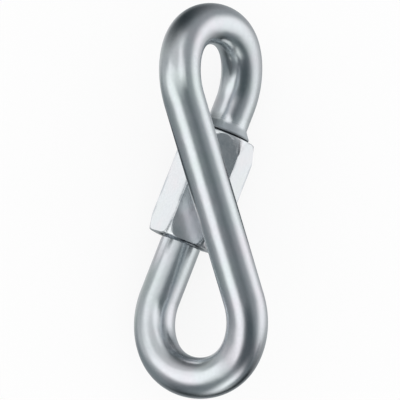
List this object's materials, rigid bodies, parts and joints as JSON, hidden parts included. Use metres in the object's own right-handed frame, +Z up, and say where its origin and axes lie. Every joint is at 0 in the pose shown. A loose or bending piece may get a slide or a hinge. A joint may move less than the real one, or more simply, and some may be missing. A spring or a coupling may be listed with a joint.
{
  "type": "twisted quick link",
  "caption": "Closed steel connecting link, bent from round bar and twisted a quarter turn, whose gate is shut by a long hexagonal sleeve nut.",
  "frame": {"origin": "on the floor, below the middle of the loop, with the link lying on the lowest flat of its nut", "axes": "+Y along the link's length towards the shoulder end of the gate, +X across it to the right seen from above, +Z up"},
  "size_m": [0.0307, 0.0958, 0.0383],
  "materials": {
    "plated_bar": "bright zinc plated, smooth",
    "plated_nut": "bright zinc plated, with drawn flats"
  },
  "bodies": {
    "link": {"link_body": "plated_bar"},
    "nut": {"sleeve_nut": "plated_nut"}
  },
  "joints": [
    {"name": "nut_travel", "type": "slide", "parent": "link", "child": "nut", "axis": [-0.3277, -0.9448, 0], "range_m": [0, 0.0135]}
  ]
}
